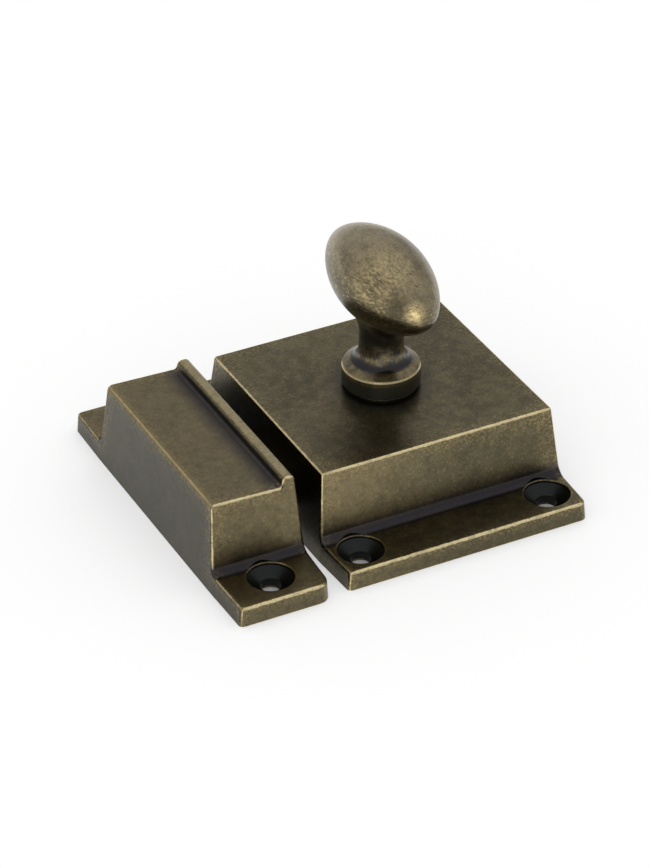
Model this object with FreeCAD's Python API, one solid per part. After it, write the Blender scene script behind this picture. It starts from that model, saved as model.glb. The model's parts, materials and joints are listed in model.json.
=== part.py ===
import FreeCAD, Part
import math
import os

# A cupboard catch latch of cast brass: a case with a turning knob, and its separate strike.
# X runs from the strike to the case, Y along the plates, Z out of the door.
# The knob turns about Z through the origin, and both castings stand on Z = 0.

# Outer form that the two castings share
flange_thickness = 3.4
body_length = 43.0
foot_fillet = 1.5
worn_edge = 0.5
end_draft = 8.0
flange_draft = 1.5
flange_taper = 3.2

# Case casting
case_length = 62.0
case_width = 45.2
case_draft = 5.3
case_inner_corner = 0.8
case_outer_corner = 1.4
case_height = 15.5
side_wall = 2.0
end_wall = 2.6
roof = 2.5
cavity_corner = 1.2
spindle_boss_d = 12.3
spindle_boss_height = 0.35
spindle_boss_edge = 0.15
hub_d = 11.0
hub_depth = 1.8
guide_rib = 2.0
stop_lug = 2.2

# Countersunk holes for wood screws
screw_hole_d = 3.6
countersink_d = 7.6
countersink_lip = 0.5
countersink_point = 118.0
countersink_round = 0.25
screw_from_wall = 4.2
screw_from_side = 5.35

# Strike casting
strike_length = 63.6
strike_gap = 2.25
strike_width = 17.05
strike_height = 15.2
strike_rise = 0.4
strike_outer_draft = 4.2
strike_inner_draft = 3.7
strike_outer_corner = 0.9
strike_outer_taper = 1.2
strike_inner_corner = 2.4
strike_outer_round = 1.0
strike_wall = 2.4
strike_lip = 1.6
strike_roof = 2.6
ridge_rise = 1.6
ridge_width = 2.4
ridge_lean = 0.45
ridge_foot_round = 0.5
ridge_crest_round = 0.9

# Knob casting
egg_radius = 7.6
egg_half_length = 15.4
egg_end_round = 3.7
egg_shoulder = 4.0
egg_above_case = 19.9
neck_d = 7.5
neck_flare = 6.0
neck_sink = 5.0
collar_d = 13.2
collar_height = 3.4
collar_edge = 0.25
collar_slope = 30.0
collar_band = 1.5
cove_height = 3.1
cove_follow = 0.6
cove_lift = 0.45
journal_d = 7.0
square_side = 5.0
square_round = 1.3
tap_spare = 0.5

# Crank under the case roof
crank_radius = 7.0
half_swing = 35.0
arm_thickness = 1.8
arm_hub_d = 10.0
arm_eye_d = 5.8
pin_d = 3.0
pin_end_round = 0.3
washer_d = 8.0
washer_thickness = 0.5
spindle_screw_d = 3.0
spindle_screw_length = 11.0
spindle_screw_head_d = 5.6
spindle_screw_head = 1.8
spindle_screw_crown = 0.7

# Bolt and its spring
bolt_width = 14.0
bolt_bite = 5.9
bolt_tip = 1.1
bolt_bevel = 45.0
bolt_edge = 0.3
tail_edge = 2.6
tail_corner = 1.0
spring_d = 4.4
spring_wire = 0.6
spring_turns = 8.0
spring_closed = 6.1
spigot_d = 2.8
spigot_length = 2.2

# Back plate and its screws
plate_inset = 0.3
plate_thickness = 1.2
plate_screw_d = 2.2
plate_screw_head_d = 4.2
plate_screw_length = 7.0
plate_post_d = 5.2
plate_pilot_spare = 1.5
plate_post_sink = 0.2
plate_tongue_lap = 3.0
driver_slot = 0.7
driver_slot_depth = 0.5

# Clearances
running_fit = 0.05
slide_fit = 0.15
loose_fit = 0.5
arm_over_bolt = 1.1
press_gap = 0.01
collar_gap = 0.1
washer_fit = 0.1
hub_gap = 0.2
pin_side_gap = 0.2
pin_end_gap = 0.3
plate_fit = 0.1
spring_seat = 0.05
spring_room = 0.25
strike_fit = 0.6

os.makedirs("parts", exist_ok=True)

V = FreeCAD.Vector
X = V(1, 0, 0)
Y = V(0, 1, 0)
Z = V(0, 0, 1)


def slope(degrees):
    return math.tan(math.radians(degrees))


def block(x0, x1, y0, y1, z0, z1):
    return Part.makeBox(x1 - x0, y1 - y0, z1 - z0, V(x0, y0, z0))


def rod(diameter, x, y, z0, z1):
    return Part.makeCylinder(diameter / 2.0, z1 - z0, V(x, y, z0))


def prism(points, along):
    wire = Part.makePolygon(points + points[:1])
    return Part.Face(wire).extrude(along)


def rounded(shape, radius, wanted):
    edges = [edge for edge in shape.Edges if wanted(edge.CenterOfMass, edge.BoundBox)]
    return shape.makeFillet(radius, edges)


def upright(centre, box):
    return box.ZLength > 0.5 and box.XLength + box.YLength < 0.1


def face_normal(face, point):
    u, v = face.Surface.parameter(point)
    return face.normalAt(u, v)


def sharp_edges(shape):
    found = []
    for edge in shape.Edges:
        if edge.Degenerated or edge.BoundBox.ZMin < 0.01:
            continue
        faces = shape.ancestorsOfType(edge, Part.Face)
        if len(faces) != 2:
            continue
        point = edge.valueAt((edge.FirstParameter + edge.LastParameter) / 2.0)
        angle = face_normal(faces[0], point).getAngle(face_normal(faces[1], point))
        if math.degrees(angle) > 25.0:
            found.append(edge)
    return found


def one_solid(shape):
    return shape.removeSplitter().Solids[0]


def export(shape, node):
    shape.exportStep("parts/" + node + ".step")


# Levels and stations that follow from the sizes above
half_length = case_length / 2.0
half_strike = strike_length / 2.0
half_case = case_width / 2.0
half_body_foot = body_length / 2.0
half_body_top = half_body_foot - (case_height - flange_thickness) * slope(end_draft)
half_case_top = half_case - case_height * slope(case_draft)
cavity_x = half_case_top - side_wall
cavity_y = half_body_top - end_wall
ceiling = case_height - roof
boss_top = case_height + spindle_boss_height
collar_bottom = boss_top + collar_gap
collar_top = collar_bottom + collar_height
egg_z = case_height + egg_above_case
hub_bottom = ceiling - hub_depth
arm_top = hub_bottom - hub_gap
arm_bottom = arm_top - arm_thickness
washer_bottom = arm_bottom - washer_thickness
head_bottom = washer_bottom - spindle_screw_head
plate_top = plate_inset + plate_thickness
bolt_bottom = plate_top + slide_fit
nose_top = arm_bottom - arm_over_bolt
tail_top = head_bottom - loose_fit
travel = 2.0 * crank_radius * math.sin(math.radians(half_swing))
pin_x = -travel / 2.0
pin_y = crank_radius * math.cos(math.radians(half_swing))
half_tail = crank_radius + pin_d / 2.0 + pin_end_gap + tail_edge
strike_right = -half_case - strike_gap
strike_left = strike_right - strike_width
tip_x = strike_right - bolt_bite
tail_left = pin_x - pin_d / 2.0 - pin_side_gap - tail_edge
tail_right = cavity_x - spring_closed - travel
nose_right = -washer_d / 2.0 - travel - loose_fit
half_nose = bolt_width / 2.0
spring_z = plate_top + spring_room + spring_d / 2.0
screw_y = half_body_foot + screw_from_wall
screw_x = half_case - screw_from_side
strike_x = (strike_left + strike_right) / 2.0
post_x = cavity_x - plate_post_d / 2.0 + plate_post_sink
post_y = cavity_y - plate_post_d / 2.0 + plate_post_sink


def end_outline(half_end, height, x0, x1):
    # Flange, drafted end walls and the coves at their feet, as one bar along X
    top = half_body_foot - (height - flange_thickness) * slope(end_draft)
    flange_top = half_end - flange_thickness * slope(flange_draft)
    points = [
        V(x0, -half_end, 0),
        V(x0, half_end, 0),
        V(x0, flange_top, flange_thickness),
        V(x0, half_body_foot, flange_thickness),
        V(x0, top, height),
        V(x0, -top, height),
        V(x0, -half_body_foot, flange_thickness),
        V(x0, -flange_top, flange_thickness),
    ]
    bar = prism(points, V(x1 - x0, 0, 0))

    def at_foot(centre, box):
        level = abs(centre.z - flange_thickness) < 0.01
        return level and abs(abs(centre.y) - half_body_foot) < 0.01 and box.XLength > 1.0

    return rounded(bar, foot_fillet, at_foot)


def flange_tapers(half_end, left, right):
    # Wedges beside the flanges, which narrow in plan from the walls to their ends
    end_y = half_end + 1.0
    rise = flange_thickness + foot_fillet
    wedges = []
    for (x, draft, narrowing), out in ((left, -1), (right, 1)):
        inset = (end_y - half_body_foot) * slope(narrowing)
        for end in (-1, 1):
            points = [
                V(x, end * half_body_foot, 0),
                V(x - out * inset, end * end_y, 0),
                V(x + out, end * end_y, 0),
                V(x + out, end * half_body_foot, 0),
            ]
            wedges.append(prism(points, V(-out * rise * slope(draft), 0, rise)))
    return wedges


def flange_corners(shape, half_end, radius, x0, x1):
    def at_corner(centre, box):
        standing = abs(box.ZLength - flange_thickness) < 0.01
        outside = abs(centre.y) > half_end - flange_thickness * slope(flange_draft) - 0.01
        return standing and outside and x0 < centre.x < x1

    return rounded(shape, radius, at_corner)


def screw_hole(x, y):
    # Bore, cone and the round-edged lip above the cone, turned about the screw's axis
    bore = screw_hole_d / 2.0
    sink = countersink_d / 2.0
    top = flange_thickness + 1.0
    cone_top = flange_thickness - countersink_lip
    cone_foot = cone_top - (sink - bore) / slope(countersink_point / 2.0)
    rim = flange_thickness - countersink_round
    bend = countersink_round * math.sqrt(0.5)
    mouth = sink + countersink_round
    run = [
        V(0, 0, top),
        V(0, 0, -1),
        V(bore, 0, -1),
        V(bore, 0, cone_foot),
        V(sink, 0, cone_top),
        V(sink, 0, rim),
    ]
    edges = [Part.makeLine(a, b) for a, b in zip(run, run[1:])]
    on_round = V(mouth - bend, 0, rim + bend)
    edges.append(Part.Arc(V(sink, 0, rim), on_round, V(mouth, 0, flange_thickness)).toShape())
    edges.append(Part.makeLine(V(mouth, 0, flange_thickness), V(mouth, 0, top)))
    edges.append(Part.makeLine(V(mouth, 0, top), V(0, 0, top)))
    cutter = Part.Face(Part.Wire(edges)).revolve(V(0, 0, 0), Z, 360.0)
    cutter.translate(V(x, y, 0))
    return cutter


def make_case():
    side_profile = [
        V(-half_case, -half_length - 1, 0),
        V(half_case, -half_length - 1, 0),
        V(half_case_top, -half_length - 1, case_height),
        V(-half_case_top, -half_length - 1, case_height),
    ]
    sides = prism(side_profile, V(0, case_length + 2, 0))
    body = sides.common(end_outline(half_length, case_height, -half_case - 1, half_case + 1))
    left = (-half_case, case_draft, flange_taper)
    right = (half_case, case_draft, flange_taper)
    for wedge in flange_tapers(half_length, left, right):
        body = body.cut(wedge)
    body = flange_corners(one_solid(body), half_length, case_inner_corner, -half_case, 0)
    body = flange_corners(body, half_length, case_outer_corner, 0, half_case)
    body = body.makeFillet(worn_edge, sharp_edges(body))

    # Hollow underside with a hub, guide ribs, stops for the bolt, corner posts and a spring spigot
    hollow = block(-cavity_x, cavity_x, -cavity_y, cavity_y, -1.0, ceiling)
    hollow = rounded(hollow, cavity_corner, upright)
    kept = rod(hub_d, 0, 0, hub_bottom, ceiling + 0.5)
    rib_in = half_tail + slide_fit
    rib_right = tail_right + travel + tail_corner
    stop_x = tail_left - slide_fit
    pilot_top = plate_inset + plate_screw_length + plate_pilot_spare
    for side in (-1, 1):
        y0, y1 = sorted((side * rib_in, side * (rib_in + guide_rib)))
        kept = kept.fuse(block(-cavity_x - 0.5, rib_right, y0, y1, bolt_bottom, ceiling + 0.5))
        y0, y1 = sorted((side * (half_nose + slide_fit), side * (rib_in + guide_rib / 2.0)))
        kept = kept.fuse(block(stop_x - stop_lug, stop_x, y0, y1, bolt_bottom, tail_top))
        for end in (-1, 1):
            kept = kept.fuse(rod(plate_post_d, end * post_x, side * post_y, plate_top, ceiling + 0.5))
    for side in (-1, 1):
        for end in (-1, 1):
            kept = kept.cut(rod(plate_screw_d, end * post_x, side * post_y, plate_top - 1.0, pilot_top))
    spigot = Part.makeCylinder(
        spigot_d / 2.0, spigot_length + 0.5, V(cavity_x - spigot_length, 0, spring_z), X
    )
    body = body.cut(hollow.cut(kept).cut(spigot))

    # Raised boss and bore for the knob, and the notch that the bolt shoots through
    boss = rod(spindle_boss_d, 0, 0, case_height - 0.5, boss_top)
    boss = rounded(boss, spindle_boss_edge, lambda centre, box: box.ZMin > boss_top - 0.01)
    body = body.fuse(boss).cut(rod(journal_d + 2 * running_fit, 0, 0, 0, boss_top + 1.0))
    gap = half_nose + slide_fit
    body = body.cut(block(-half_case - 1, -cavity_x + 0.1, -gap, gap, -1.0, nose_top + slide_fit))
    for sx in (-1, 1):
        for sy in (-1, 1):
            body = body.cut(screw_hole(sx * screw_x, sy * screw_y))
    return one_solid(body)


def make_strike():
    crest = strike_height + ridge_rise
    right_top = strike_right - crest * slope(strike_inner_draft)
    outer_z = strike_height + strike_rise
    left_top = strike_left + outer_z * slope(strike_outer_draft)
    foot_x = right_top - ridge_width
    y0 = -half_strike - 1
    profile = [
        V(strike_left, y0, 0),
        V(strike_right, y0, 0),
        V(right_top, y0, crest),
        V(foot_x + ridge_lean, y0, crest),
        V(foot_x, y0, strike_height),
        V(left_top, y0, outer_z),
    ]
    sides = prism(profile, V(0, strike_length + 2, 0))

    def along(x, z):
        return lambda centre, box: box.YLength > 10 and abs(centre.x - x) + abs(centre.z - z) < 0.01

    sides = rounded(sides, strike_outer_round, along(left_top, outer_z))
    sides = rounded(sides, ridge_foot_round, along(foot_x, strike_height))
    sides = rounded(sides, ridge_crest_round, along(foot_x + ridge_lean, crest))
    sides = rounded(sides, ridge_crest_round, along(right_top, crest))
    bar = end_outline(half_strike, crest + 1.0, strike_left - 1, strike_right + 1)
    body = sides.common(bar)
    left = (strike_left, strike_outer_draft, strike_outer_taper)
    right = (strike_right, strike_inner_draft, flange_taper)
    for wedge in flange_tapers(half_strike, left, right):
        body = body.cut(wedge)
    body = one_solid(body)
    body = flange_corners(body, half_strike, strike_outer_corner, strike_left, strike_x)
    body = flange_corners(body, half_strike, strike_inner_corner, strike_x, strike_right)
    body = body.makeFillet(worn_edge, sharp_edges(body))

    # Hollow underside, open toward the bolt
    inner_left = strike_left + strike_wall
    inner_right = right_top - strike_lip
    hollow_top = strike_height - strike_roof
    hollow = block(inner_left, inner_right, -cavity_y, cavity_y, -1.0, hollow_top)
    hollow = rounded(hollow, cavity_corner, upright)
    gap = half_nose + strike_fit
    mouth = block(inner_right - 0.5, strike_right + 1, -gap, gap, -1.0, nose_top + strike_fit)
    body = body.cut(hollow).cut(mouth)
    for sy in (-1, 1):
        body = body.cut(screw_hole(strike_x, sy * screw_y))
    return one_solid(body)


def make_knob():
    # Egg turned about Y, as two halves, from a curve that passes egg_radius at its middle
    crown = (32.0 * egg_radius - 10.0 * egg_end_round) / 20.0
    curve = Part.BezierCurve()
    curve.setPoles([
        V(0, -egg_half_length, egg_z),
        V(egg_end_round, -egg_half_length, egg_z),
        V(crown, -egg_shoulder, egg_z),
        V(crown, egg_shoulder, egg_z),
        V(egg_end_round, egg_half_length, egg_z),
        V(0, egg_half_length, egg_z),
    ])
    axis = Part.makeLine(V(0, egg_half_length, egg_z), V(0, -egg_half_length, egg_z))
    leaf = Part.Face(Part.Wire([curve.toShape(), axis]))
    egg = leaf.revolve(V(0, 0, egg_z), Y, 180.0).fuse(leaf.revolve(V(0, 0, egg_z), Y, -180.0))

    # Spindle, collar and the cove that sweeps up from the collar into the neck, turned about Z
    neck = neck_d / 2.0
    rim = collar_d / 2.0
    journal = journal_d / 2.0
    rise = slope(collar_slope)
    edge = collar_edge
    band_x = rim - collar_band
    band_z = collar_top + collar_band * rise
    cove_top = band_z + cove_height
    neck_end = egg_z - egg_radius + neck_sink
    below = [
        V(0, 0, arm_top),
        V(journal, 0, arm_top),
        V(journal, 0, collar_bottom),
        V(rim - edge, 0, collar_bottom),
        V(rim, 0, collar_bottom + edge),
        V(rim, 0, collar_top - edge),
        V(rim - edge, 0, collar_top + edge * rise),
        V(band_x, 0, band_z),
    ]
    above = [V(neck, 0, cove_top), V(neck, 0, neck_end), V(0, 0, neck_end), V(0, 0, arm_top)]
    step_in = (band_x - neck) * cove_follow
    cove = Part.BezierCurve()
    cove.setPoles([
        below[-1],
        V(band_x - step_in, 0, band_z + step_in * rise),
        V(neck, 0, band_z + cove_height * cove_lift),
        above[0],
    ])
    edges = [Part.makeLine(a, b) for a, b in zip(below, below[1:])]
    edges.append(cove.toShape())
    edges += [Part.makeLine(a, b) for a, b in zip(above, above[1:])]
    stem = Part.Face(Part.Wire(edges)).revolve(V(0, 0, 0), Z, 360.0)
    knob = egg.fuse(stem).Solids[0]

    def under_egg(centre, box):
        between = box.ZMin > cove_top and box.ZMax < egg_z
        return between and box.XLength > 0.3 and box.YLength > 0.3

    knob = rounded(knob, neck_flare, under_egg)

    # Square for the crank arm, and the tapped hole
    half = square_side / 2.0
    square = block(-half, half, -half, half, arm_bottom + washer_fit, arm_top + 1.0)
    knob = knob.fuse(square.common(rod(square_side * square_round, 0, 0, arm_bottom, arm_top + 2.0)))
    depth = washer_bottom + spindle_screw_length + tap_spare
    knob = knob.cut(rod(spindle_screw_d + 2 * press_gap, 0, 0, arm_bottom, depth))
    return knob.Solids[0]


def make_crank_arm():
    r0 = arm_hub_d / 2.0
    r1 = arm_eye_d / 2.0
    tilt = math.asin((r0 - r1) / crank_radius)
    points = []
    for sign, centre_y, radius in ((1, 0, r0), (1, crank_radius, r1), (-1, crank_radius, r1), (-1, 0, r0)):
        dx = sign * radius * math.cos(tilt)
        points.append(V(dx, centre_y + radius * math.sin(tilt), arm_bottom))
    arm = prism(points, V(0, 0, arm_thickness))
    arm = arm.fuse(rod(arm_hub_d, 0, 0, arm_bottom, arm_top))
    arm = arm.fuse(rod(arm_eye_d, 0, crank_radius, arm_bottom, arm_top))
    arm = arm.cut(rod(pin_d + 2 * press_gap, 0, crank_radius, arm_bottom - 1, arm_top + 1))
    arm.rotate(V(0, 0, 0), Z, half_swing)
    half = square_side / 2.0 + press_gap
    arm = arm.cut(block(-half, half, -half, half, arm_bottom - 1, arm_top + 1))
    return one_solid(arm)


def make_crank_pin():
    pin = rod(pin_d, pin_x, pin_y, plate_top + loose_fit, arm_top)
    return rounded(pin, pin_end_round, lambda centre, box: box.ZMax < plate_top + loose_fit + 0.01)


def make_spindle_washer():
    ring = rod(washer_d, 0, 0, washer_bottom, arm_bottom)
    return ring.cut(rod(spindle_screw_d + 2 * washer_fit, 0, 0, washer_bottom - 1, arm_bottom + 1))


def make_spindle_screw():
    head = rod(spindle_screw_head_d, 0, 0, head_bottom, washer_bottom)
    head = rounded(head, spindle_screw_crown, lambda centre, box: box.ZMax < head_bottom + 0.01)
    half = driver_slot / 2.0
    wide = spindle_screw_head_d
    slot = block(-wide, wide, -half, half, head_bottom - 1, head_bottom + driver_slot_depth)
    shank = rod(spindle_screw_d, 0, 0, washer_bottom - 0.2, washer_bottom + spindle_screw_length)
    return one_solid(head.cut(slot).fuse(shank))


def make_bolt():
    tail = block(tail_left, tail_right, -half_tail, half_tail, bolt_bottom, tail_top)
    tail = rounded(tail, tail_corner, upright)
    bevel_x = tip_x + (nose_top - bolt_tip - bolt_bottom) / slope(bolt_bevel)
    points = [
        V(tip_x, -half_nose, nose_top - bolt_tip),
        V(tip_x, -half_nose, nose_top),
        V(nose_right, -half_nose, nose_top),
        V(nose_right, -half_nose, bolt_bottom),
        V(bevel_x, -half_nose, bolt_bottom),
    ]
    nose = prism(points, V(0, bolt_width, 0))
    nose = rounded(nose, bolt_edge, lambda centre, box: centre.x < tip_x + 0.01)
    shank = block(bevel_x, tail_right, -half_nose, half_nose, bolt_bottom, tail_top)
    bolt = nose.fuse(shank).fuse(tail)
    slot = pin_d / 2.0 + pin_side_gap
    slot_in = pin_y - pin_d / 2.0 - pin_end_gap + slot
    slot_out = half_tail - tail_edge - slot
    way = block(pin_x - slot, pin_x + slot, slot_in, slot_out, bolt_bottom - 1, tail_top + 1)
    way = way.fuse(rod(2 * slot, pin_x, slot_in, bolt_bottom - 1, tail_top + 1))
    way = way.fuse(rod(2 * slot, pin_x, slot_out, bolt_bottom - 1, tail_top + 1))
    spigot = Part.makeCylinder(spigot_d / 2.0, spigot_length + 0.5, V(tail_right - 0.5, 0, spring_z), X)
    return one_solid(bolt.cut(way).fuse(spigot))


def make_bolt_spring():
    start = tail_right + spring_seat + spring_wire / 2.0
    length = cavity_x - spring_seat - spring_wire / 2.0 - start
    radius = (spring_d - spring_wire) / 2.0
    helix = Part.makeHelix(length / spring_turns, length, radius)
    ring = Part.Wire(Part.makeCircle(spring_wire / 2.0, V(radius, 0, 0), Y))
    coil = Part.Wire(helix.Edges).makePipeShell([ring], True, True)
    coil.rotate(V(0, 0, 0), Y, 90.0)
    coil.translate(V(start, 0, spring_z))
    return coil.Solids[0] if coil.Solids else Part.Solid(coil)


def make_back_plate():
    px = cavity_x - plate_fit
    py = cavity_y - plate_fit
    plate = block(-px, px, -py, py, plate_inset, plate_top)
    plate = rounded(plate, cavity_corner, upright)
    half = half_nose + slide_fit - plate_fit
    tongue_end = 2 * plate_fit - half_case
    tongue = block(tongue_end, plate_tongue_lap - px, -half, half, plate_inset, plate_top)
    plate = plate.fuse(tongue)
    for sx in (-1, 1):
        for sy in (-1, 1):
            plate = plate.cut(plate_screw(sx * post_x, sy * post_y, 2 * running_fit))
    return one_solid(plate)


def plate_screw(x, y, room):
    shank_r = plate_screw_d / 2.0 - press_gap + room
    head_r = plate_screw_head_d / 2.0 + room
    cone = Part.makeCone(head_r, shank_r, head_r - shank_r, V(x, y, plate_inset))
    return cone.fuse(rod(2 * shank_r, x, y, plate_inset, plate_inset + plate_screw_length))


def make_back_plate_screws():
    screws = []
    half = driver_slot / 2.0
    for sx in (-1, 1):
        for sy in (-1, 1):
            x = sx * post_x
            y = sy * post_y
            slot = block(x - 3, x + 3, y - half, y + half, plate_inset - 1, plate_inset + driver_slot_depth)
            screws.append(one_solid(plate_screw(x, y, 0.0).cut(slot)))
    return Part.makeCompound(screws)


export(make_case(), "case")
export(make_strike(), "strike")
export(make_knob(), "knob")
export(make_crank_arm(), "crank_arm")
export(make_crank_pin(), "crank_pin")
export(make_spindle_washer(), "spindle_washer")
export(make_spindle_screw(), "spindle_screw")
export(make_bolt(), "bolt")
export(make_bolt_spring(), "bolt_spring")
export(make_back_plate(), "back_plate")
export(make_back_plate_screws(), "back_plate_screws")
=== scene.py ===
import json
import math

import bmesh
import bpy
from mathutils import Matrix, Vector


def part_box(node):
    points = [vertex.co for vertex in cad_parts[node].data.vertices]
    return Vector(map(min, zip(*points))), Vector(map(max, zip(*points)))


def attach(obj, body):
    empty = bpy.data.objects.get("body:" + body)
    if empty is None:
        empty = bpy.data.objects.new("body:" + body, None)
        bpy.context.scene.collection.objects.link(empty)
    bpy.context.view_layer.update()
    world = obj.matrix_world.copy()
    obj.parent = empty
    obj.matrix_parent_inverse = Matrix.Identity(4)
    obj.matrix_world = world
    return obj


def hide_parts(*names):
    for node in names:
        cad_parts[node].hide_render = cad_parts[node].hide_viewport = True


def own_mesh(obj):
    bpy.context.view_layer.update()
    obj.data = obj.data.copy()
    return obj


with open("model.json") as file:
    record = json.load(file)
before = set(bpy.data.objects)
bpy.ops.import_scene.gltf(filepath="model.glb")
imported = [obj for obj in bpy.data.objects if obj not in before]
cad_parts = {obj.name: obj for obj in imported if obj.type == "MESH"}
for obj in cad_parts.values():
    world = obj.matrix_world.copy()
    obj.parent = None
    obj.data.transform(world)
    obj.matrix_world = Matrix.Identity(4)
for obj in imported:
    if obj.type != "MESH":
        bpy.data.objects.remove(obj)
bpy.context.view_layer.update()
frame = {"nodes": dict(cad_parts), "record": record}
scene = bpy.context.scene
nodes = frame["nodes"]


# Sizes of the object that the patina follows, in millimetres
def box_mm(node):
    low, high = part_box(node)
    return Vector(low) * 1000.0, Vector(high) * 1000.0


def screw_pattern(name):
    mount = next(m for m in frame["record"]["mounts"] if m["name"] == name)
    return mount["pos_m"][0] * 1000.0, mount["dims"]


case_high = box_mm("case")[1]
strike_low, strike_high = box_mm("strike")
CASE_TOP = 15.5
CASE_SLOPE = math.tan(math.radians(5.3))
FLANGE = 3.4
FLANGE_SLOPE = math.tan(math.radians(1.5))
FLANGE_TAPER = math.tan(math.radians(3.2))
BODY_FOOT = 21.5
BODY_SLOPE = math.tan(math.radians(8.0))
COVE = 1.3
SINK_R = 3.8
HOLE_X = screw_pattern("case_screws")[1]["spacing_x_mm"] / 2.0
HOLE_Y = screw_pattern("case_screws")[1]["spacing_y_mm"] / 2.0
STRIKE_X = screw_pattern("strike_screws")[0]
STRIKE_OUTER_SLOPE = math.tan(math.radians(4.2))
STRIKE_OUTER_TAPER = math.tan(math.radians(1.2))
STRIKE_INNER_SLOPE = math.tan(math.radians(3.7))
STRIKE_TOP = 15.2
STRIKE_TOP_SLOPE = 0.0322
RIDGE_FOOT = -28.34
RIDGE_CREST = strike_high.z
COLLAR_R = 6.6
DISH_R = 5.3
# Reach of the painted shade on the case top around the knob
KNOB_SHADE_R = 10.5
COLLAR_LOW = 15.95
COLLAR_TOP = 19.35
BAND_TOP = 20.2
NECK_FOOT_LOW = 21.8
NECK_FOOT_TOP = 23.6
NECK_TOP = 27.0
WORN_SPOTS = ((-4.2, -6.8, 40.3), (4.2, 6.8, 40.3))
# Centres of painted shade on the egg, beside each rubbed spot
PAINTED_SHADE_SPOTS = ((-3.5, -12.0, 37.2), (3.5, 12.0, 37.2))
# Centres of rubbed brass on the egg, which also paint in a highlight
RUBBED_HIGHLIGHT_SPOTS = ((-1.6, -14.1, 37.0), (1.6, 14.1, 37.0))

# Colours that aged brass reflects, from black patina to bare metal, whose brightest tone is also a painted
# highlight, and those of the knob
INK = (0.030, 0.033, 0.032)
PLUM = (0.034, 0.032, 0.041)
SMOKE = (0.035, 0.032, 0.019)
SHADE = (0.086, 0.075, 0.046)
BROWN = (0.168, 0.144, 0.086)
WARM = (0.25, 0.196, 0.105)
BRONZE = (0.37, 0.285, 0.135)
BRASS = (0.90, 0.715, 0.36)
# Bare brass brightened past the real metal, so that worn edge lines also paint in a highlight
BARE_AND_HIGHLIGHT = (1.0, 0.84, 0.48)
EGG_DARK = (0.20, 0.168, 0.108)
EGG_MID = (0.42, 0.35, 0.225)
COLLAR_SIDE = (0.112, 0.120, 0.100)
NECK_SMOKE = (0.076, 0.074, 0.068)

# Colours of the plain worked metals, and how dark their stains are
BOLT_BRASS = (0.30, 0.235, 0.13)
PLAIN_STEEL = (0.30, 0.30, 0.29)
SPRING_STEEL = (0.16, 0.16, 0.165)
SHEET_BRASS = (0.28, 0.23, 0.14)
STAIN_SHADE = 0.65


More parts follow.
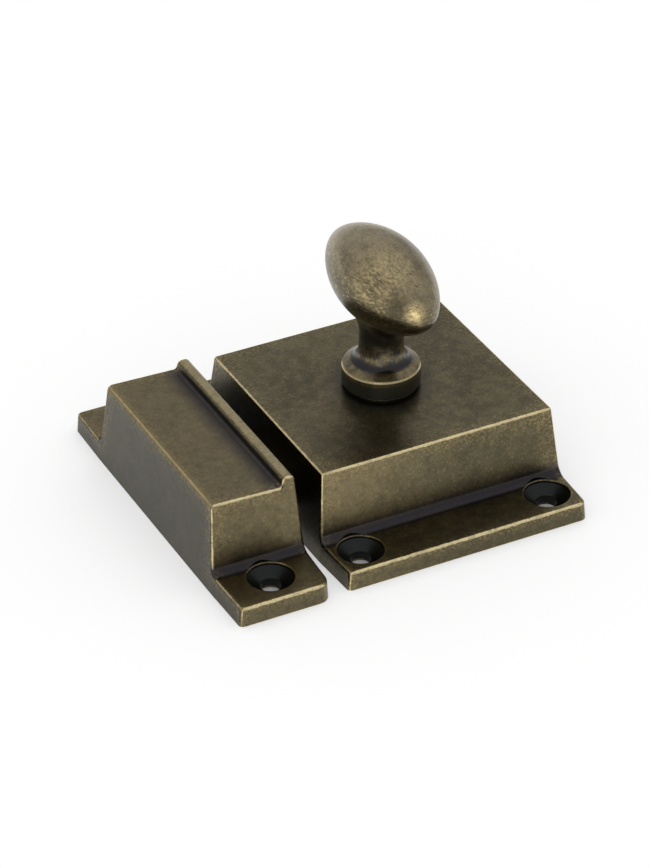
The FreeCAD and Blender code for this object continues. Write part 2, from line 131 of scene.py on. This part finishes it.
class Shader:
    # Nodes of one material, with every length in millimetres
    def __init__(self, name):
        self.material = bpy.data.materials.new(name)
        self.material.use_nodes = True
        self.tree = self.material.node_tree
        self.tree.nodes.clear()
        self.output = self.tree.nodes.new("ShaderNodeOutputMaterial")
        coords = self.tree.nodes.new("ShaderNodeTexCoord")
        scale = self.tree.nodes.new("ShaderNodeVectorMath")
        scale.operation = "SCALE"
        scale.inputs["Scale"].default_value = 1000.0
        self.tree.links.new(coords.outputs["Object"], scale.inputs[0])
        self.place = scale.outputs[0]
        split = self.tree.nodes.new("ShaderNodeSeparateXYZ")
        self.tree.links.new(self.place, split.inputs[0])
        self.x, self.y, self.z = split.outputs
        geometry = self.tree.nodes.new("ShaderNodeNewGeometry")
        facing = self.tree.nodes.new("ShaderNodeSeparateXYZ")
        self.tree.links.new(geometry.outputs["Normal"], facing.inputs[0])
        self.nx, self.ny, self.nz = facing.outputs

    def put(self, socket, value):
        if isinstance(value, bpy.types.NodeSocket):
            self.tree.links.new(value, socket)
        elif isinstance(value, tuple) and len(value) == 3 and socket.type == "RGBA":
            socket.default_value = (*value, 1.0)
        else:
            socket.default_value = value

    def math(self, operation, a, b=0.0, c=0.0, clamp=False):
        node = self.tree.nodes.new("ShaderNodeMath")
        node.operation = operation
        node.use_clamp = clamp
        for socket, value in zip(node.inputs, (a, b, c)):
            self.put(socket, value)
        return node.outputs[0]

    def add(self, a, b):
        return self.math("ADD", a, b)

    def sub(self, a, b):
        return self.math("SUBTRACT", a, b)

    def mul(self, a, b):
        return self.math("MULTIPLY", a, b)

    def line(self, value, slope, offset):
        return self.math("MULTIPLY_ADD", value, slope, offset)

    def both(self, *masks):
        made = masks[0]
        for mask in masks[1:]:
            made = self.math("MULTIPLY", made, mask, clamp=True)
        return made

    def either(self, *masks):
        made = masks[0]
        for mask in masks[1:]:
            made = self.math("MAXIMUM", made, mask)
        return made

    def size(self, a):
        return self.math("ABSOLUTE", a)

    def gap(self, a, b):
        return self.size(self.sub(a, b))

    def corner(self, *gaps):
        # Distance from the edge where faces meet, given the distance from each face
        return self.either(*gaps)

    def step(self, value, low, high, out_low=0.0, out_high=1.0):
        node = self.tree.nodes.new("ShaderNodeMapRange")
        node.interpolation_type = "SMOOTHSTEP"
        for name, given in (("Value", value), ("From Min", low), ("From Max", high)):
            self.put(node.inputs[name], given)
        node.inputs["To Min"].default_value = out_low
        node.inputs["To Max"].default_value = out_high
        return node.outputs["Result"]

    def within(self, value, low, high, soft):
        return self.both(self.step(value, low - soft, low), self.step(value, high + soft, high))

    def distance(self, ax, ay):
        return self.math("SQRT", self.add(self.mul(ax, ax), self.mul(ay, ay)))

    def reach(self, point):
        node = self.tree.nodes.new("ShaderNodeVectorMath")
        node.operation = "DISTANCE"
        self.tree.links.new(self.place, node.inputs[0])
        node.inputs[1].default_value = point
        return node.outputs["Value"]

    def noise(self, scale, detail=3.0, roughness=0.55, stretch=(1.0, 1.0, 1.0), shift=0.0, distortion=0.0):
        mapping = self.tree.nodes.new("ShaderNodeMapping")
        self.tree.links.new(self.place, mapping.inputs["Vector"])
        mapping.inputs["Scale"].default_value = stretch
        mapping.inputs["Location"].default_value = (shift, shift * 0.7, -shift)
        node = self.tree.nodes.new("ShaderNodeTexNoise")
        self.tree.links.new(mapping.outputs[0], node.inputs["Vector"])
        node.inputs["Scale"].default_value = scale
        node.inputs["Detail"].default_value = detail
        node.inputs["Roughness"].default_value = roughness
        node.inputs["Distortion"].default_value = distortion
        return node.outputs[0]

    def mix(self, amount, a, b):
        node = self.tree.nodes.new("ShaderNodeMix")
        node.data_type = "RGBA"
        self.put(node.inputs["Factor"], amount)
        self.put(node.inputs[6], a)
        self.put(node.inputs[7], b)
        return node.outputs[2]

    def bump(self, height, distance, base=None):
        node = self.tree.nodes.new("ShaderNodeBump")
        self.put(node.inputs["Height"], height)
        node.inputs["Distance"].default_value = distance / 1000.0
        node.inputs["Strength"].default_value = 1.0
        if base is not None:
            self.put(node.inputs["Normal"], base)
        return node.outputs[0]

    def metal(self, colour, roughness, normal):
        shader = self.tree.nodes.new("ShaderNodeBsdfPrincipled")
        self.put(shader.inputs["Base Color"], colour)
        self.put(shader.inputs["Roughness"], roughness)
        self.put(shader.inputs["Normal"], normal)
        shader.inputs["Metallic"].default_value = 1.0
        self.tree.links.new(shader.outputs[0], self.output.inputs["Surface"])
        return self.material


class Patina(Shader):
    # Aged brass: clouds of brown over dark, bronze flecks, worn edges and black hollows
    def __init__(self, name, roughness, dark=SHADE, light=BROWN):
        super().__init__(name)
        clouds = self.noise(0.085, 4.0, 0.6, shift=3.0)
        self.blots = self.noise(0.5, 5.0, 0.65, shift=11.0)
        self.grain = self.noise(4.2, 3.0, 0.6, shift=23.0)
        self.speckle = self.noise(2.1, 6.0, 0.78, shift=57.0)
        self.ragged = self.noise(1.1, 5.0, 0.75, shift=41.0)
        broad = self.add(self.mul(clouds, 0.30), self.mul(self.blots, 0.36))
        tone = self.line(self.grain, 0.34, broad)
        self.colour = self.mix(self.step(tone, 0.38, 0.62), dark, light)
        self.shine = self.line(self.grain, 0.10, roughness - 0.05)

    def tint(self, amount, colour):
        self.colour = self.mix(amount, self.colour, colour)

    def flecks(self, amount):
        spots = self.step(self.speckle, 0.49, 0.64)
        groups = self.step(self.blots, 0.36, 0.58, 0.3, 1.0)
        self.tint(self.both(spots, groups, amount), BRONZE)

    def wear(self, gap, width, strength, fade=2.0):
        # A worn edge: a bright ragged line over the edge itself, in bare brass brightened into a painted
        # highlight, and flecks that thin out beside it
        near = self.step(gap, fade, 0.0)
        self.tint(self.both(self.step(self.speckle, 0.44, 0.62), near, 0.6 * strength), BRONZE)
        uneven = self.add(gap, self.line(self.ragged, 1.6 * width, -0.8 * width))
        bright = self.step(uneven, 1.6 * width, 0.9 * width)
        dotted = self.step(self.speckle, 0.30, 0.52, 0.5, 1.0)
        patchy = self.step(self.blots, 0.34, 0.52, 0.7, 1.0)
        self.tint(self.both(bright, strength, dotted, patchy), BARE_AND_HIGHLIGHT)
        self.polish(bright, 0.05)

    def polish(self, amount, depth):
        self.shine = self.line(amount, -depth, self.shine)

    def finish(self, grain_bump=0.006, wave=0.05):
        wavy = self.bump(self.noise(0.2, 2.0, 0.5, shift=71.0), wave)
        return self.metal(self.colour, self.shine, self.bump(self.grain, grain_bump, wavy))


def sink(s, hole):
    # Drilled recess of a screw hole: dark inside, with a soft worn lip
    lip = s.both(s.within(hole, SINK_R, SINK_R + 0.3, 0.12), s.within(s.z, FLANGE - 0.4, FLANGE, 0.1))
    s.tint(s.both(lip, s.step(s.speckle, 0.34, 0.62, 0.1, 0.5)), BRONZE)
    inside = s.step(hole, SINK_R + 0.08, SINK_R - 0.02)
    s.tint(s.both(inside, s.within(s.z, 0.4, FLANGE, 0.2)), INK)


def foot_cove(s, ay):
    # Purple-black patina kept in the cove where a wall meets its flange
    low = s.both(s.step(s.z, FLANGE + 2.6, FLANGE + 0.6), s.step(s.z, FLANGE - 0.4, FLANGE - 0.1))
    near = s.within(ay, BODY_FOOT - 0.4, BODY_FOOT + 0.8 * COVE, 0.7)
    s.tint(s.both(low, near, 0.9), PLUM)


def taper(s, ay, slope):
    # How far the flange's side has drawn in, beyond the foot of the body
    return s.mul(s.either(s.sub(ay, BODY_FOOT), 0.0), slope)


def flange_edges(s, ay, side, half_length):
    # Darker end face of a flange, and its worn edges
    top = s.gap(s.z, FLANGE)
    end = s.gap(ay, s.line(s.z, -FLANGE_SLOPE, half_length))
    s.tint(s.both(s.step(end, 0.3, 0.1), s.step(s.ragged, 0.36, 0.60, 0.75, 0.35)), SHADE)
    outside = s.sub(BODY_FOOT + COVE, ay)
    s.wear(s.corner(top, end), 0.27, 1.0, 2.2)
    s.wear(s.corner(top, side, outside), 0.16, 0.55)
    s.wear(s.corner(end, side), 0.22, 0.75)
    s.wear(s.corner(end, s.size(s.z)), 0.1, 0.3, 1.2)


def case_material():
    s = Patina("aged brass case", 0.31)
    ax = s.size(s.x)
    ay = s.size(s.y)
    top = s.gap(s.z, CASE_TOP)
    end = s.gap(ay, s.line(s.sub(s.z, FLANGE), -BODY_SLOPE, BODY_FOOT))
    side = s.gap(s.add(ax, taper(s, ay, FLANGE_TAPER)), s.line(s.z, -CASE_SLOPE, case_high.x))
    sideways = s.step(s.size(s.nx), 0.6, 0.9)
    front = s.step(s.ny, -0.6, -0.9)
    # Front face: painted light toward its left end and painted shade toward its right end
    s.tint(s.both(front, s.step(s.x, 4.0, -17.0), s.step(s.ragged, 0.34, 0.62, 0.2, 0.6)), WARM)
    s.tint(s.both(front, s.step(s.x, -10.0, 6.0), 0.5), SHADE)
    s.tint(s.both(sideways, 0.85), SMOKE)
    s.flecks(s.line(sideways, -0.3, 0.4))
    around = s.distance(s.x, s.y)
    # Painted shade on the case top around the knob's boss
    knob_shade = s.both(s.step(around, KNOB_SHADE_R, COLLAR_R - 0.4), s.step(s.z, CASE_TOP - 0.5, CASE_TOP - 0.1))
    s.tint(s.both(knob_shade, 0.55), PLUM)
    upright = s.sub(FLANGE + COVE, s.z)
    s.wear(s.corner(top, end), 0.24, 1.0, 3.6)
    s.wear(s.corner(top, side), 0.22, 0.8, 3.0)
    s.wear(s.corner(end, side, upright), 0.18, 0.75, 5.0)
    foot_cove(s, ay)
    flange_edges(s, ay, side, case_high.y)
    sink(s, s.distance(s.sub(ax, HOLE_X), s.sub(ay, HOLE_Y)))
    return s.finish()


def strike_material():
    s = Patina("aged brass strike", 0.31)
    ay = s.size(s.y)
    roof = s.line(s.either(s.sub(RIDGE_FOOT, s.x), 0.0), STRIKE_TOP_SLOPE, STRIKE_TOP)
    ridge = s.step(s.x, RIDGE_FOOT - 0.3, RIDGE_FOOT + 0.8, 0.0, RIDGE_CREST - STRIKE_TOP)
    top = s.gap(s.z, s.add(roof, ridge))
    outer_side = s.line(s.z, STRIKE_OUTER_SLOPE, strike_low.x)
    outer = s.gap(s.sub(s.x, taper(s, ay, STRIKE_OUTER_TAPER)), outer_side)
    inner_side = s.line(s.z, -STRIKE_INNER_SLOPE, strike_high.x)
    inner = s.gap(s.add(s.x, taper(s, ay, FLANGE_TAPER)), inner_side)
    end = s.gap(ay, s.line(s.sub(s.z, FLANGE), -BODY_SLOPE, BODY_FOOT))
    sideways = s.step(s.size(s.nx), 0.75, 0.95)
    s.tint(s.both(sideways, 0.84), SMOKE)
    s.flecks(s.line(sideways, -0.3, 0.4))
    s.tint(s.both(s.step(s.nz, 0.85, 0.97), s.step(s.ragged, 0.34, 0.62, 0.15, 0.45)), WARM)
    s.tint(s.both(s.step(s.ny, -0.6, -0.9), s.step(s.ragged, 0.34, 0.62, 0.1, 0.4)), WARM)
    # Trough beside the ridge: painted shade, dark at the ridge's foot, fading over the top
    fading = s.step(s.x, RIDGE_FOOT - 4.0, RIDGE_FOOT - 0.5)
    before_ridge = s.step(s.x, RIDGE_FOOT + 0.5, RIDGE_FOOT + 0.1)
    on_top = s.step(s.z, STRIKE_TOP - 0.8, STRIKE_TOP - 0.2)
    below_crest = s.step(s.z, STRIKE_TOP + 1.1, STRIKE_TOP + 0.4)
    s.tint(s.both(fading, before_ridge, on_top, below_crest, 0.8), PLUM)
    upright = s.sub(FLANGE + COVE, s.z)
    shoulder = s.step(s.corner(top, outer), 1.3, 0.3)
    s.tint(s.both(shoulder, s.step(s.ragged, 0.36, 0.62, 0.2, 0.65)), BRONZE)
    s.wear(s.corner(top, outer), 0.32, 0.4, 4.0)
    s.wear(s.corner(top, end), 0.24, 1.0, 3.0)
    s.wear(s.gap(s.z, RIDGE_CREST), 0.14, 0.25, 0.9)
    s.wear(s.corner(end, outer, upright), 0.18, 0.7, 4.0)
    s.wear(s.corner(end, inner, upright), 0.18, 0.5)
    foot_cove(s, ay)
    flange_edges(s, ay, s.math("MINIMUM", outer, inner), strike_high.y)
    sink(s, s.distance(s.sub(s.x, STRIKE_X), s.sub(ay, HOLE_Y)))
    return s.finish()


def knob_material():
    s = Patina("aged brass knob", 0.30, EGG_DARK, EGG_MID)
    around = s.distance(s.x, s.y)
    # Egg: painted shade below and on its right side, scratched, worn warm on its flanks, then toward each
    # end a spot of painted shade and rubbed brass that is also a painted highlight
    # Painted shade: darker where the egg faces down
    s.tint(s.step(s.nz, 0.72, 0.05, 0.0, 0.85), SHADE)
    # Painted shade on the egg's right side
    s.tint(s.step(s.x, -1.1, 4.5, 0.0, 0.34), SHADE)
    scratches = s.noise(2.0, 7.0, 0.72, stretch=(1.0, 0.5, 1.5), shift=7.0, distortion=0.5)
    worn = s.either(*[s.step(s.reach(spot), 7.5, 1.0) for spot in WORN_SPOTS])
    s.tint(s.both(s.step(s.blots, 0.32, 0.58), worn, 0.35), BRONZE)
    s.tint(s.both(s.step(scratches, 0.42, 0.64), worn, 0.5), BRASS)
    flanks = s.within(s.nz, -0.35, 0.5, 0.2)
    s.tint(s.both(s.step(scratches, 0.49, 0.70), flanks, 0.42), BRASS)
    s.tint(s.both(s.step(scratches, 0.46, 0.34), 0.5), SHADE)
    s.tint(s.both(s.step(s.speckle, 0.47, 0.33), 0.5), SHADE)
    # Painted shade on the egg between its warm middle and each bright end
    painted_shade_spot = s.either(*[s.step(s.reach(spot), 3.4, 0.6) for spot in PAINTED_SHADE_SPOTS])
    s.tint(s.both(painted_shade_spot, s.step(s.ragged, 0.32, 0.56, 0.9, 0.5)), SHADE)
    # Rubbed brass toward each end: wear, and a painted highlight where the window lamp reflects
    rubbed_highlight = s.either(*[s.step(s.reach(spot), 2.4, 0.3) for spot in RUBBED_HIGHLIGHT_SPOTS])
    s.tint(s.both(rubbed_highlight, s.step(scratches, 0.36, 0.54, 0.2, 0.9)), BRASS)
    s.polish(rubbed_highlight, 0.09)
    # Neck and cove: dark, with bronze showing through at the neck's foot
    s.tint(s.step(s.z, NECK_TOP + 2.0, NECK_TOP - 1.0, 0.0, 0.94), NECK_SMOKE)
    foot = s.both(s.within(s.z, NECK_FOOT_LOW, NECK_FOOT_TOP, 1.6), s.step(s.ragged, 0.36, 0.62))
    s.tint(s.both(foot, s.step(s.speckle, 0.40, 0.60, 0.3, 0.75)), BRONZE)
    inside = s.step(around, DISH_R + 0.6, DISH_R - 0.6)
    hollow = s.both(s.within(s.z, BAND_TOP + 0.2, BAND_TOP + 0.6, 1.2), inside)
    s.tint(s.both(hollow, 0.8), PLUM)
    s.polish(hollow, 0.08)
    # Collar: patches of bronze on the band and the shoulder, a bright rim and a dark side
    below = s.step(s.z, COLLAR_TOP + 0.05, COLLAR_TOP - 0.15)
    s.tint(s.both(below, 0.9), COLLAR_SIDE)
    patches = s.step(s.ragged, 0.36, 0.62, 0.1, 0.6)
    outside = s.step(around, DISH_R - 0.5, DISH_R)
    s.tint(s.both(s.within(s.z, COLLAR_TOP - 0.1, BAND_TOP - 0.1, 0.3), outside, patches), BRONZE)
    edge = s.step(around, COLLAR_R - 0.4, COLLAR_R - 0.15)
    s.tint(s.both(s.within(s.z, COLLAR_TOP - 0.7, COLLAR_TOP, 0.5), edge, patches), BRONZE)
    rim = s.gap(around, COLLAR_R)
    s.wear(s.corner(s.gap(s.z, COLLAR_TOP), rim), 0.13, 0.45, 0.8)
    s.wear(s.corner(s.gap(s.z, COLLAR_LOW), rim), 0.12, 0.35, 0.5)
    return s.finish(0.012, 0.06)


def plain_metal(name, colour, roughness, streak=(1.0, 1.0, 1.0)):
    # Plain worked metal: grain along the streak, and stains
    s = Shader(name)
    grain = s.noise(3.0, 4.0, 0.6, stretch=streak, shift=5.0)
    stain = s.noise(0.35, 3.0, 0.6, shift=19.0)
    dark = tuple(STAIN_SHADE * c for c in colour)
    tone = s.mix(s.step(s.add(s.mul(grain, 0.5), s.mul(stain, 0.5)), 0.35, 0.65), dark, colour)
    rough = s.line(grain, 0.2, roughness - 0.1)
    return s.metal(tone, rough, s.bump(grain, 0.01))


made = {
    "aged_brass_case": case_material(),
    "aged_brass_strike": strike_material(),
    "aged_brass_knob": knob_material(),
    "worn_brass_bolt": plain_metal("worn brass bolt", BOLT_BRASS, 0.38, streak=(0.08, 1.0, 1.0)),
    "plain_steel": plain_metal("plain steel", PLAIN_STEEL, 0.4),
    "spring_steel": plain_metal("spring steel", SPRING_STEEL, 0.35),
    "brass_sheet": plain_metal("brass sheet", SHEET_BRASS, 0.42, streak=(1.0, 0.06, 1.0)),
}
for entry in frame["record"]["subparts"]:
    mesh = nodes[entry["node"]].data
    mesh.materials.clear()
    mesh.materials.append(made[entry["material_slot"]])


# Bolt spring, as a coil of wire
SPRING_TURNS = 8
SPRING_WIRE = 0.0006
TURN_STEPS = 24
WIRE_SIDES = 8


def make_spring():
    low, high = (Vector(corner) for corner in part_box("bolt_spring"))
    centre = (low + high) / 2.0
    wire = SPRING_WIRE / 2.0
    radius = (high.z - low.z) / 2.0 - wire
    start = low.x + wire
    length = high.x - wire - start
    steps = SPRING_TURNS * TURN_STEPS
    along = Vector((1.0, 0.0, 0.0))
    coil = bmesh.new()
    rings = []
    for i in range(steps + 1):
        turn = 2.0 * math.pi * i / TURN_STEPS
        out = Vector((0.0, math.cos(turn), math.sin(turn)))
        middle = Vector((start + length * i / steps, centre.y, centre.z)) + out * radius
        ring = []
        for k in range(WIRE_SIDES):
            angle = 2.0 * math.pi * k / WIRE_SIDES
            around_wire = out * math.cos(angle) + along * math.sin(angle)
            ring.append(coil.verts.new(middle + around_wire * wire))
        rings.append(ring)
    for first, second in zip(rings, rings[1:]):
        for k in range(WIRE_SIDES):
            after = (k + 1) % WIRE_SIDES
            coil.faces.new((first[k], first[after], second[after], second[k]))
    coil.faces.new(rings[0][::-1])
    coil.faces.new(rings[-1])
    bmesh.ops.recalc_face_normals(coil, faces=coil.faces)
    mesh = bpy.data.meshes.new("spring_coil")
    coil.to_mesh(mesh)
    coil.free()
    mesh.polygons.foreach_set("use_smooth", [True] * len(mesh.polygons))
    mesh.materials.append(made["spring_steel"])
    spring = bpy.data.objects.new("spring_coil", mesh)
    scene.collection.objects.link(spring)
    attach(spring, "latch_case")
    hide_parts("bolt_spring")
    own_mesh(spring)


make_spring()


# Camera fitted to the photograph: its turn, its place in millimetres along its own axes, its lens
CAMERA_YAW = -27.283
CAMERA_PITCH = 33.678
CAMERA_RIGHT = -9.260
CAMERA_UP = 4.232
CAMERA_BACK = 604.42
PHOTO_HEIGHT = 868.0
FOCAL_PIXELS = 3600.0
SENSOR = 36.0
NEAR_CLIP = 0.01

yaw = math.radians(CAMERA_YAW)
pitch = math.radians(CAMERA_PITCH)
right = Vector((math.cos(yaw), math.sin(yaw), 0.0))
back = Vector((math.sin(yaw) * math.cos(pitch), -math.cos(yaw) * math.cos(pitch), math.sin(pitch)))
up = back.cross(right)
place = (right * CAMERA_RIGHT + up * CAMERA_UP + back * CAMERA_BACK) / 1000.0
camera = bpy.data.objects.new("camera", bpy.data.cameras.new("camera"))
camera.matrix_world = Matrix((
    (right.x, up.x, back.x, place.x),
    (right.y, up.y, back.y, place.y),
    (right.z, up.z, back.z, place.z),
    (0.0, 0.0, 0.0, 1.0),
))
camera.data.sensor_width = SENSOR
camera.data.lens = FOCAL_PIXELS * SENSOR / PHOTO_HEIGHT
camera.data.clip_start = NEAR_CLIP
scene.collection.objects.link(camera)
scene.camera = camera


# White floor, which the metal reflects as white, and soft light from all round
SKY = 0.58
FLOOR_GLOW = 0.42
FLOOR_HALF = 4.0
FLOOR_DROP = 0.00003
HOLE_SHADOW_R = 2.4
HOLE_SHADOW_FADE = 0.6
PAPER = (0.93, 0.93, 0.93)
WHITE = (1.0, 1.0, 1.0)


def paper_material():
    # Paper that glows where it is seen or mirrored, except at the bottom of each screw hole
    s = Shader("white paper")
    sheet = s.tree.nodes.new("ShaderNodeBsdfPrincipled")
    s.put(sheet.inputs["Base Color"], PAPER)
    sheet.inputs["Roughness"].default_value = 0.9
    sheet.inputs["Specular IOR Level"].default_value = 0.0
    s.put(sheet.inputs["Emission Color"], WHITE)
    rays = s.tree.nodes.new("ShaderNodeLightPath").outputs
    seen = s.either(rays["Is Camera Ray"], rays["Is Glossy Ray"], rays["Is Transmission Ray"])
    ay = s.sub(s.size(s.y), HOLE_Y)
    case_hole = s.distance(s.sub(s.size(s.x), HOLE_X), ay)
    strike_hole = s.distance(s.sub(s.x, STRIKE_X), ay)
    lit = s.step(s.math("MINIMUM", case_hole, strike_hole), HOLE_SHADOW_R, HOLE_SHADOW_R + HOLE_SHADOW_FADE)
    s.put(sheet.inputs["Emission Strength"], s.mul(s.both(seen, lit), FLOOR_GLOW))
    s.tree.links.new(sheet.outputs[0], s.output.inputs["Surface"])
    return s.material


floor_mesh = bpy.data.meshes.new("floor")
floor_mesh.from_pydata(
    [(x * FLOOR_HALF, y * FLOOR_HALF, 0.0) for x, y in ((-1, -1), (1, -1), (1, 1), (-1, 1))],
    [],
    [(0, 1, 2, 3)],
)
floor_mesh.materials.append(paper_material())
floor = bpy.data.objects.new("floor", floor_mesh)
floor.location.z = -FLOOR_DROP
scene.collection.objects.link(floor)

world = bpy.data.worlds.new("studio")
world.use_nodes = True
background = world.node_tree.nodes["Background"]
background.inputs["Color"].default_value = (*WHITE, 1.0)
background.inputs["Strength"].default_value = SKY
scene.world = world


def softbox(name, place_at, target, width, height, power):
    lamp = bpy.data.lights.new(name, "AREA")
    lamp.shape = "RECTANGLE"
    lamp.size = width
    lamp.size_y = height
    lamp.energy = power
    item = bpy.data.objects.new(name, lamp)
    item.location = place_at
    item.rotation_mode = "QUATERNION"
    item.rotation_quaternion = (Vector(target) - Vector(place_at)).to_track_quat("-Z", "Y")
    scene.collection.objects.link(item)


softbox("overhead", (0.3, 0.2, 1.6), target=(0.0, 0.0, 0.0), width=2.4, height=2.4, power=1.9)
softbox("window", (-0.58, -0.77, 0.33), target=(0.0, 0.0, 0.03), width=0.45, height=0.45, power=0.44)

scene.view_settings.view_transform = "Standard"
